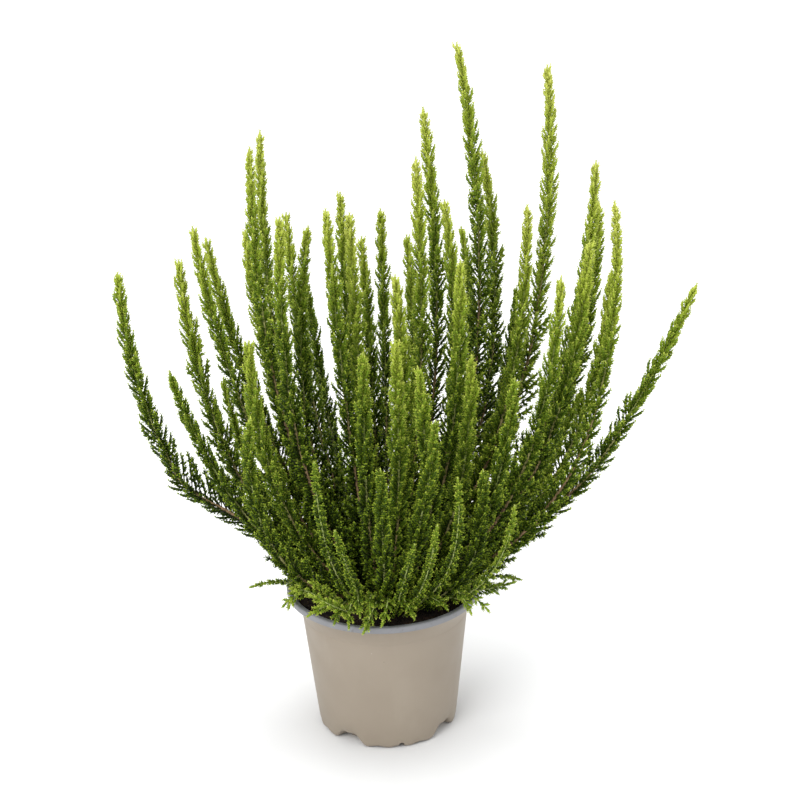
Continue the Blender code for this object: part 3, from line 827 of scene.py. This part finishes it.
def style_of(index, stem):
    """How a stem grows: the young ones in front are slim and pale."""
    x, y, z = stem.tip
    pale = stem.name in YOUNG
    draw = np.random.default_rng(STYLE_SEED + index)
    tone = STEM_TONE + TONE_BY_DEPTH * y + draw.uniform(-TONE_SWING, TONE_SWING)
    tone += OUTER_GAIN * soft_step(abs(x), *OUTER)
    tone += BRIGHTER.get(stem.name, YOUNG_GAIN if pale else 0.0)
    column = YOUNG_COLUMN if pale else FRONT_COLUMN if y < FRONT else COLUMN
    return Style(
        turn=index * GOLDEN_ANGLE,
        gap=1.0,
        reach=YOUNG_FULLNESS if pale else FULLNESS.get(stem.name, 1.0),
        rise=YOUNG_RISE if pale else 1.0,
        leaf=YOUNG_LEAF if pale else 1.0,
        tone=tone,
        pale=pale,
        young=YOUNG_TIP_GAIN if pale else np.interp(z, TIP_HEIGHTS, TIP_YOUTH_AND_GLOW_GAINS),
        column=column,
    )


def clear_of_pot(shoots):
    """Only the shoots that lie above the peat and out of the pot's lip."""
    keep = np.ones(len(shoots.start), bool)
    for share in (0.5, 1.0):
        point, _ = on_curves(shoots, slice(None), share)
        radius = np.hypot(point[:, 0], point[:, 1])
        outside = radius > LIP_RADIUS + OFF_POT
        keep &= (point[:, 2] > SOIL_TOP + OFF_POT) | outside
        keep &= (point[:, 2] > POT_HEIGHT + OFF_POT) | (radius < LIP_INNER) | outside
    return Shoots(*[part[keep] for part in shoots])


def add_axis(gather, axis, style, radius, draw):
    """The woody axis of a stem or a sprig: brown and thick at its foot, green at its tip."""
    length = line_length(axis)
    places = np.append(np.arange(0.0, length, AXIS_STEP), length)
    radii = AXIS_AT_TIP + (radius - AXIS_AT_TIP) * (1.0 - places / length) ** AXIS_TAPER
    fresh = soft_step(places - length, *FRESH)
    tones = np.maximum(fresh, YOUNG_FRESHNESS if style.pale else 0.0)
    add_tube(gather, along(axis, places), radii, tones, 1, draw)


def dress(gather, axis, style, draw):
    """The side shoots, twigs and leaves of a stem or a sprig."""
    shoots = clear_of_pot(side_shoots(axis, style, draw))
    shoots = together([shoots, top_shoots(axis, style)])
    add_leaves(gather, shoots, draw)
    add_leaves(gather, twigs(shoots, draw), draw)


def add_sprig(gather, points, style, draw):
    """A leafy sprig at the foot of a stem, in the stem's own piece."""
    tone = style.tone + draw.uniform(0.0, SPRIG_GAIN)
    style = style._replace(turn=draw.uniform(0.0, 3.0), tone=tone, **SPRIG_STYLE)
    way = smooth_through(np.array(points, float))
    add_axis(gather, way, style, SPRIG_AXIS, draw)
    dress(gather, way, style, draw)


def make_stem(index, stem, axis, leaf, bark):
    """One leafy stem: a woody axis, its side shoots and leaves, and the sprigs at its foot."""
    draw = np.random.default_rng(STEM_SEED + index)
    style = style_of(index, stem)
    gather = Gather()
    rooted = np.concatenate([axis[:1] - (0.0, 0.0, IN_PEAT), axis])
    foot = AXIS_AT_FOOT * min(1.0, line_length(axis) / FULL_AXIS_LENGTH)
    add_axis(gather, rooted, style, YOUNG_AXIS if style.pale else foot, draw)
    dress(gather, axis, style, draw)
    for points in SPRIGS.get(stem.name, ()):
        add_sprig(gather, points, style, draw)
    made = gather.made("leafy_" + stem.name, [leaf, bark], "foliage")
    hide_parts("stem_" + stem.name)


# The pot
def pot_radius(z):
    """The pot's outer radius at a height: the straight wall, then the flare under the lip."""
    wall = FOOT_RADIUS + WALL_SLOPE * z
    start = FOOT_RADIUS + WALL_SLOPE * FLARE_START
    share = np.clip((z - FLARE_START) / (POT_HEIGHT - LIP_HEIGHT - FLARE_START), 0.0, 1.0)
    flare = (1.0 - FLARE_BEND) * share + FLARE_BEND * share ** 2
    return np.where(z > FLARE_START, start + (FLARE_RADIUS - start) * flare, wall)


def arc(centre, radius, first, last, steps):
    """Points of a round corner in the outline, angles in degrees."""
    turns = np.radians(np.linspace(first, last, steps))
    return [(centre[0] + radius * math.cos(a), centre[1] + radius * math.sin(a)) for a in turns]


def crease(z):
    """How deep the moulded line round the wall is at a height."""
    return CREASE_DEPTH * np.exp(-((z - CREASE_HEIGHT) / CREASE_WIDTH) ** 2)


def wall_line(low, high, steps, inset):
    """The wall from one height to another, inset from its outside, closer in steps at the crease."""
    z = np.concatenate([np.linspace(low, high, steps), CREASE_HEIGHT + np.array(CREASE_PROFILE)])
    return [(float(pot_radius(h) - crease(h) - inset), float(h)) for h in np.sort(z)]


def arch_shape(angle):
    """How far into an arch each angle round the foot is, from 0 to 1."""
    quarter = 360.0 / ARCHES
    off = np.abs((angle - ARCH_CENTRE + 0.5 * quarter) % quarter - 0.5 * quarter)
    return soft_step(ARCH_FULLNESS * (1.0 - off / ARCH_HALF_WIDTH), 0.0, 1.0)


def foot_rise(radius, z, angle):
    """How far the foot is raised at each angle: high at the arches, in low waves between them."""
    near_edge = soft_step(radius, *FOOT_EDGE) * soft_step(-z, *FOOT_BAND)
    waves = RIPPLE * (1.0 - np.cos(np.radians(angle * RIPPLES)))
    return near_edge * (ARCH_HEIGHT * arch_shape(angle) + waves)


def turned(outline):
    """A closed form turned round Z from an outline that starts and ends on the axis."""
    angle = 360.0 * np.arange(POT_STEPS) / POT_STEPS
    turn = np.radians(angle)
    rings = []
    for radius, z in outline[1:-1]:
        height = z + foot_rise(radius, z, angle)
        rings.append(np.stack([radius * np.sin(turn), -radius * np.cos(turn), height], axis=1))
    return closed_rings(rings, (0.0, 0.0, outline[0][1]), (0.0, 0.0, outline[-1][1]))


def level(height, *radii):
    """Points of the outline at one height."""
    return [(radius, height) for radius in radii]


def skin_outline():
    """The outer layer: along the underside, up the wall to the lip, and back down inside."""
    top = POT_HEIGHT - LIP_HEIGHT
    line = level(0.0, 0.0, MIDDLE_RING, REST_RADIUS - 6.0, REST_RADIUS, CORNER - 2.5)
    line += arc((CORNER, CORNER_ROUND), CORNER_ROUND, -90.0, 6.0, 9)
    line += wall_line(5.0, top, 16, 0.0)
    line += [(FLARE_RADIUS - SKIN, top)] + wall_line(7.0, top - 0.8, 8, SKIN)[::-1]
    line += [(CORNER + 0.6, 4.2), (CORNER - 1.6, 1.45)]
    return line + level(SKIN_FLOOR, CORNER - 3.2, REST_RADIUS, MIDDLE_RING, 0.0)


def liner_outline():
    """The grey layer inside the outer one, which also makes the round lip."""
    top = POT_HEIGHT - LIP_HEIGHT
    inset = SKIN + LAYER_GAP
    line = level(SKIN_FLOOR + LAYER_GAP, 0.0, MIDDLE_RING, REST_RADIUS, CORNER - 3.3)
    line += [(CORNER - 1.7, 1.5), (CORNER + 0.55, 4.25)] + wall_line(7.0, top - 0.8, 8, inset)
    line += level(top + LAYER_GAP, FLARE_RADIUS - inset, LIP_RADIUS - 0.5)
    line += arc((LIP_RADIUS - 0.45, top + 0.5), 0.45, -80.0, 0.0, 4)
    line += arc((LIP_RADIUS - 1.1, POT_HEIGHT - 1.1), 1.1, 0.0, 88.0, 8)
    line += arc((LIP_RADIUS - LIP_WIDTH + 0.9, POT_HEIGHT - 0.95), 0.9, 95.0, 165.0, 6)
    line += [(FLARE_RADIUS - 2.2, top - 1.8)] + wall_line(7.2, top - 3.6, 8, WALL)[::-1]
    line += [(CORNER + 0.1, 4.6), (CORNER - 1.8, 2.2)]
    return line + level(FLOOR, CORNER - 3.6, REST_RADIUS, MIDDLE_RING, 0.0)


def make_pot(taupe, grey):
    """The pot in two layers, with its slots cut through both."""
    cutter = make_slot_cutter()
    layers = (("pot_skin", skin_outline(), taupe, "pot"), ("pot_liner", liner_outline(), grey, "pot_inside"))
    for name, outline, look, slot in layers:
        layer = piece(name, *turned(outline), [look], slot)
        cut(layer, cutter)
        smooth(layer)
        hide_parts("pot")
    bpy.data.objects.remove(cutter)


def make_slot_cutter():
    """The four drain slots in the foot, midway between the arches, with rounded tops."""
    outline = [(-0.5 * SLOT_WIDTH, -1.0), (0.5 * SLOT_WIDTH, -1.0)]
    outline += arc((0.0, SLOT_TOP - 0.4 * SLOT_WIDTH), 0.5 * SLOT_WIDTH, 0.0, 180.0, 9)
    points, faces = [], []
    count = len(outline)
    for k in range(ARCHES):
        turn = math.radians(ARCH_CENTRE + SLOT_FROM_ARCH + k * 360.0 / ARCHES)
        out = np.array([math.sin(turn), -math.cos(turn), 0.0])
        wide = np.array([math.cos(turn), math.sin(turn), 0.0])
        first = len(points)
        for radius in (FOOT_RADIUS - 0.5 * SLOT_DEPTH, FOOT_RADIUS + 0.5 * SLOT_DEPTH):
            points += [MM * (radius * out + w * wide + (0.0, 0.0, h)) for w, h in outline]
        ring = list(range(first, first + count))
        faces += [ring[::-1], [count + i for i in ring]]
        faces += [(i, j, count + j, count + i) for i, j in zip(ring, ring[1:] + ring[:1])]
    mesh = bpy.data.meshes.new("slot_cutter")
    mesh.from_pydata(points, [], faces)
    return placed("slot_cutter", mesh)


def cut(thing, cutter):
    """Cuts the cutter's form out of a piece."""
    boolean = thing.modifiers.new("slots", "BOOLEAN")
    boolean.operation = "DIFFERENCE"
    boolean.object = cutter
    bpy.context.view_layer.update()
    evaluated = thing.evaluated_get(bpy.context.evaluated_depsgraph_get())
    result = bpy.data.meshes.new_from_object(evaluated)
    thing.modifiers.clear()
    thing.data = result


# Peat
def peat_relief(x, y):
    """The height of the peat's surface above its level: low mounds with crumbs on them."""
    mound = noise.noise(Vector((x * MOUND_SCALE, y * MOUND_SCALE, 3.1)))
    lumps = noise.fractal(Vector((x * LUMP_SCALE, y * LUMP_SCALE, 7.7)), *LUMP_KIND)
    return PEAT_MOUND * mound + PEAT_RELIEF * lumps


def peat_ring(share, edge, angles):
    """A ring of the peat's surface at a share of the way out, a little lower at its edge."""
    ring = []
    for angle in angles:
        radius = edge * share * (1.0 - PEAT_WAVE * (share > 0.99) * (1.0 + math.sin(PEAT_WAVES * angle)))
        x, y = radius * math.cos(angle), radius * math.sin(angle)
        fall = PEAT_EDGE_FALL * soft_step(share, *PEAT_EDGE)
        ring.append((x, y, PEAT_LEVEL + min(peat_relief(x, y), PEAT_MOST) - fall))
    return np.array(ring)


def make_peat(look):
    """The peat: its side just inside the pot, and its rough surface."""
    angles = 2.0 * math.pi * np.arange(PEAT_STEPS) / PEAT_STEPS
    side = [(REST_RADIUS - 2.0, PEAT_FOOT), (FOOT_RADIUS - 4.4, 9.6), (FOOT_RADIUS - 1.4, 11.6)]
    for z in (*np.linspace(15.0, FLARE_START, 8), SOIL_TOP - 2.0):
        side.append((float(pot_radius(z)) - PEAT_TO_POT, z))
    round_ways = np.stack([np.cos(angles), np.sin(angles), np.zeros(PEAT_STEPS)], axis=1)
    rings = [radius * round_ways + (0.0, 0.0, z) for radius, z in side]
    edge = float(pot_radius(SOIL_TOP)) - PEAT_TO_POT
    rings += [peat_ring(share, edge, angles) for share in np.linspace(1.0, 0.02, PEAT_RINGS)]
    form = closed_rings(rings, (0.0, 0.0, PEAT_FOOT), (0.0, 0.0, PEAT_LEVEL))
    peat = piece("peat", *form, [look], "peat")
    smooth(peat, 50.0)
    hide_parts("soil")
    make_crumbs(look)


def scattered(draw, reach):
    """A random place on the peat, within the reach."""
    radius, turn = reach * math.sqrt(draw.uniform(0.02, 1.0)), draw.uniform(0.0, 2.0 * math.pi)
    return radius * math.cos(turn), radius * math.sin(turn)


def make_crumbs(look):
    """Loose crumbs and fibres that lie on the peat."""
    draw = np.random.default_rng(CRUMB_SEED)
    gather = Gather()
    golden = 0.5 * (1.0 + math.sqrt(5.0))
    corners = [(x, y * golden, 0.0) for y in (1, -1) for x in (-1, 1)]
    ball = unit(np.array([np.roll(corner, k) for k in range(3) for corner in corners]))
    faces = np.array([
        (0, 11, 5), (0, 5, 1), (0, 1, 7), (0, 7, 10), (0, 10, 11), (1, 5, 9), (5, 11, 4),
        (11, 10, 2), (10, 7, 6), (7, 1, 8), (3, 9, 4), (3, 4, 2), (3, 2, 6), (3, 6, 8),
        (3, 8, 9), (4, 9, 5), (2, 4, 11), (6, 2, 10), (8, 6, 7), (9, 8, 1),
    ])
    for _ in range(CRUMBS):
        x, y = scattered(draw, CRUMB_REACH)
        size = draw.uniform(*CRUMB_SIZE)
        stretch = draw.uniform(*CRUMB_STRETCH, 3) * (1.0, 1.0, CRUMB_FLATNESS)
        points = ball * draw.uniform(*CRUMB_UNEVEN, (len(ball), 1)) * stretch * size
        z = PEAT_LEVEL + peat_relief(x, y) + CRUMB_LIFT * size
        gather.add(points + (x, y, z), faces, np.full(len(ball), draw.uniform(0.0, 1.0)), 0)
    for _ in range(FIBRES):
        add_fibre(gather, draw)
    gather.made("peat_crumbs", [look], "peat")


def add_fibre(gather, draw):
    """A curved fibre along the peat's surface."""
    x, y = scattered(draw, FIBRE_REACH)
    way = draw.uniform(0.0, 2.0 * math.pi)
    long = draw.uniform(*FIBRE_LENGTH)
    line = []
    for share in np.linspace(-0.5, 0.5, FIBRE_POINTS):
        px = x + long * share * math.cos(way + FIBRE_CURL * share)
        py = y + long * share * math.sin(way + FIBRE_CURL * share)
        inwards = min(1.0, CRUMB_REACH / math.hypot(px, py))
        px, py = px * inwards, py * inwards
        line.append((px, py, PEAT_LEVEL + CRUMB_LIFT + peat_relief(px, py)))
    radii = np.full(FIBRE_POINTS, draw.uniform(*FIBRE_RADIUS))
    tones = np.full(FIBRE_POINTS, draw.uniform(0.2, 1.0))
    add_tube(gather, np.array(line), radii, tones, 0, draw)


# Materials
class Look:
    """A node material with short helpers."""

    def __init__(self, name, roughness):
        self.made = bpy.data.materials.new(name)
        self.made.use_nodes = True
        self.tree = self.made.node_tree
        self.shader = self.tree.nodes["Principled BSDF"]
        self.put("Roughness", roughness)

    def node(self, kind, **settings):
        made = self.tree.nodes.new(kind)
        for key, value in settings.items():
            if key in made.inputs:
                made.inputs[key].default_value = value
            else:
                setattr(made, key.lower(), value)
        return made

    def feed(self, socket, value):
        """Sets a socket to a number or a colour, or links it to another node's output."""
        if isinstance(value, tuple):
            socket.default_value = (*value, 1.0)
        elif isinstance(value, float):
            socket.default_value = value
        else:
            self.tree.links.new(value, socket)

    def place(self):
        """Where a point lies on the object, in metres."""
        return self.node("ShaderNodeTexCoord").outputs["Object"]

    def noise(self, scale, detail=3.0, roughness=0.55, stretch=None):
        made = self.node("ShaderNodeTexNoise", Scale=scale, Detail=detail, Roughness=roughness)
        place = self.place()
        if stretch:
            mapping = self.node("ShaderNodeMapping", Scale=stretch)
            self.feed(mapping.inputs["Vector"], place)
            place = mapping.outputs["Vector"]
        self.feed(made.inputs["Vector"], place)
        return made.outputs["Fac"]

    def tone(self):
        return self.node("ShaderNodeAttribute", attribute_name="tone").outputs["Fac"]

    def maths(self, operation, first, second):
        made = self.node("ShaderNodeMath", operation=operation)
        self.feed(made.inputs[0], first)
        self.feed(made.inputs[1], second)
        return made.outputs["Value"]

    def spread(self, value, low, high, to_low=0.0, to_high=1.0):
        """Spreads a value from one range over another, cut off at its ends."""
        made = self.node("ShaderNodeMapRange")
        for socket, number in zip(made.inputs, (value, low, high, to_low, to_high)):
            self.feed(socket, number)
        return made.outputs["Result"]

    def ramp(self, value, *stops):
        """Colours from a value: each stop is a place from 0 to 1 and a linear colour."""
        made = self.node("ShaderNodeValToRGB")
        ramp = made.color_ramp
        while len(ramp.elements) < len(stops):
            ramp.elements.new(0.5)
        for element, (place, colour) in zip(ramp.elements, stops):
            element.position = place
        for element, (place, colour) in zip(ramp.elements, stops):
            element.color = (*colour, 1.0)
        self.feed(made.inputs["Fac"], value)
        return made.outputs["Color"]

    def mix(self, share, first, second):
        made = self.node("ShaderNodeMix", data_type="RGBA")
        sockets = [s for s in made.inputs if s.enabled]
        for socket, value in zip(sockets, (share, first, second)):
            self.feed(socket, value)
        return [s for s in made.outputs if s.enabled][0]

    def put(self, name, value):
        self.feed(self.shader.inputs[name], value)

    def bump(self, height, distance):
        made = self.node("ShaderNodeBump", Distance=distance * MM)
        self.feed(made.inputs["Height"], height)
        self.put("Normal", made.outputs["Normal"])


def leaf_look():
    look = Look("heather_leaf", 0.5)
    look.put("Specular IOR Level", 0.15)
    mottle = look.spread(look.noise(220.0, 2.0), 0.3, 0.7, -0.05, 0.05)
    look.put("Base Color", look.ramp(look.maths("ADD", look.tone(), mottle), *LEAF_RAMP))
    return look.made


def bark_look():
    look = Look("heather_bark", 0.75)
    streaks = look.noise(900.0, 3.0, 0.6, (1.0, 1.0, 0.25))
    old, fresh = look.ramp(streaks, *OLD_BARK), look.ramp(streaks, *FRESH_BARK)
    look.put("Base Color", look.mix(look.tone(), old, fresh))
    look.bump(streaks, 0.15)
    return look.made


def peat_look():
    look = Look("peat_surface", 0.95)
    fine = look.noise(900.0, 5.0, 0.65)
    brown = look.spread(look.noise(160.0, 2.0), 0.42, 0.66)
    look.put("Base Color", look.mix(brown, look.ramp(fine, *DARK_PEAT), look.ramp(fine, *BROWN_PEAT)))
    look.bump(fine, 0.6)
    return look.made


def skin_look():
    """Matte plastic, faintly clouded, with rubbed places and a few specks of dust and peat."""
    look = Look("taupe_plastic", 0.5)
    rubbed = look.spread(look.noise(60.0, 4.0, 0.6, (1.0, 1.0, 0.35)), 0.56, 0.74, 0.0, 0.35)
    base = look.mix(rubbed, look.ramp(look.noise(28.0, 3.0, 0.5), *TAUPE), RUBBED_TAUPE)
    dots = look.node("ShaderNodeTexVoronoi", Scale=120.0)
    look.feed(dots.inputs["Vector"], look.place())
    speck = look.spread(dots.outputs["Distance"], 0.055, 0.025)
    chosen = look.node("ShaderNodeSeparateColor")
    look.feed(chosen.inputs["Color"], dots.outputs["Color"])
    for channel, colour in (("Red", PALE_SPECK), ("Green", DARK_SPECK)):
        few = look.spread(chosen.outputs[channel], 0.930, 0.940)
        base = look.mix(look.maths("MULTIPLY", speck, few), base, colour)
    look.put("Base Color", base)
    look.put("Roughness", look.spread(look.noise(45.0, 3.0), 0.3, 0.7, 0.42, 0.56))
    look.bump(look.noise(1400.0, 2.0), 0.03)
    return look.made


def liner_look():
    """Smooth grey plastic with peat dust on it."""
    look = Look("grey_plastic", 0.38)
    clouds = look.noise(40.0, 3.0)
    dust = look.spread(look.noise(300.0, 4.0, 0.6), 0.60, 0.70, 0.0, 0.5)
    look.put("Base Color", look.mix(dust, look.ramp(clouds, *GREY), PEAT_DUST))
    look.put("Roughness", look.spread(clouds, 0.3, 0.7, 0.32, 0.44))
    look.bump(look.noise(1100.0, 2.0), 0.02)
    return look.made


# Studio
def make_floor():
    mesh = bpy.data.meshes.new("floor")
    far = FLOOR_HALF_METRES
    corners = [(-far, -far, 0.0), (far, -far, 0.0), (far, far, 0.0), (-far, far, 0.0)]
    mesh.from_pydata(corners, [], [(0, 1, 2, 3)])
    look = Look("floor_white", 0.9)
    look.put("Base Color", FLOOR_WHITE)
    look.put("Specular IOR Level", 0.1)
    mesh.materials.append(look.made)
    placed("floor", mesh)


def make_lamp(name, towards, strength, degrees):
    """A broad soft lamp, far away."""
    light = bpy.data.lights.new(name, "SUN")
    light.energy = strength
    light.angle = math.radians(degrees)
    placed(name, light).rotation_euler = Vector(towards).to_track_quat("Z", "Y").to_euler()


def make_studio():
    make_floor()
    world = bpy.data.worlds.new("studio")
    world.use_nodes = True
    sky = world.node_tree.nodes["Background"]
    sky.inputs["Color"].default_value = (*SKY, 1.0)
    sky.inputs["Strength"].default_value = SKY_STRENGTH
    bpy.context.scene.world = world
    for lamp in LAMPS:
        make_lamp(*lamp)
    bpy.context.scene.view_settings.view_transform = "Standard"


def make_camera():
    """The photograph's camera, from its pitch, its roll and where the pot's rim lies in the picture."""
    cos, sin = math.cos(CAMERA_PITCH), math.sin(CAMERA_PITCH)
    forward = Vector((0.0, cos, -sin))
    level_right, level_up = Vector((1.0, 0.0, 0.0)), Vector((0.0, sin, cos))
    right = level_right * math.cos(CAMERA_ROLL) - level_up * math.sin(CAMERA_ROLL)
    up = level_up * math.cos(CAMERA_ROLL) + level_right * math.sin(CAMERA_ROLL)
    across = (RIM_IN_PHOTO[0] - 0.5 * PHOTO_SIZE) * RIM_AWAY / FOCAL_PIXELS
    above = (0.5 * PHOTO_SIZE - RIM_IN_PHOTO[1]) * RIM_AWAY / FOCAL_PIXELS
    place = Vector((0.0, 0.0, POT_HEIGHT)) - forward * RIM_AWAY - right * across - up * above
    data = bpy.data.cameras.new("camera")
    data.sensor_width = SENSOR
    data.lens = SENSOR * FOCAL_PIXELS / PHOTO_SIZE
    camera = placed("camera", data)
    rotation = Matrix((right, up, -forward)).transposed()
    camera.matrix_world = Matrix.Translation(place * MM) @ rotation.to_4x4()
    bpy.context.scene.camera = camera


def main():
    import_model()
    make_studio()
    make_camera()
    make_pot(skin_look(), liner_look())
    make_peat(peat_look())
    axes = bend_clear(np.array([stem_curve(stem) for stem in STEMS]))
    leaf, bark = leaf_look(), bark_look()
    for index, stem in enumerate(STEMS):
        make_stem(index, stem, axes[index], leaf, bark)


main()
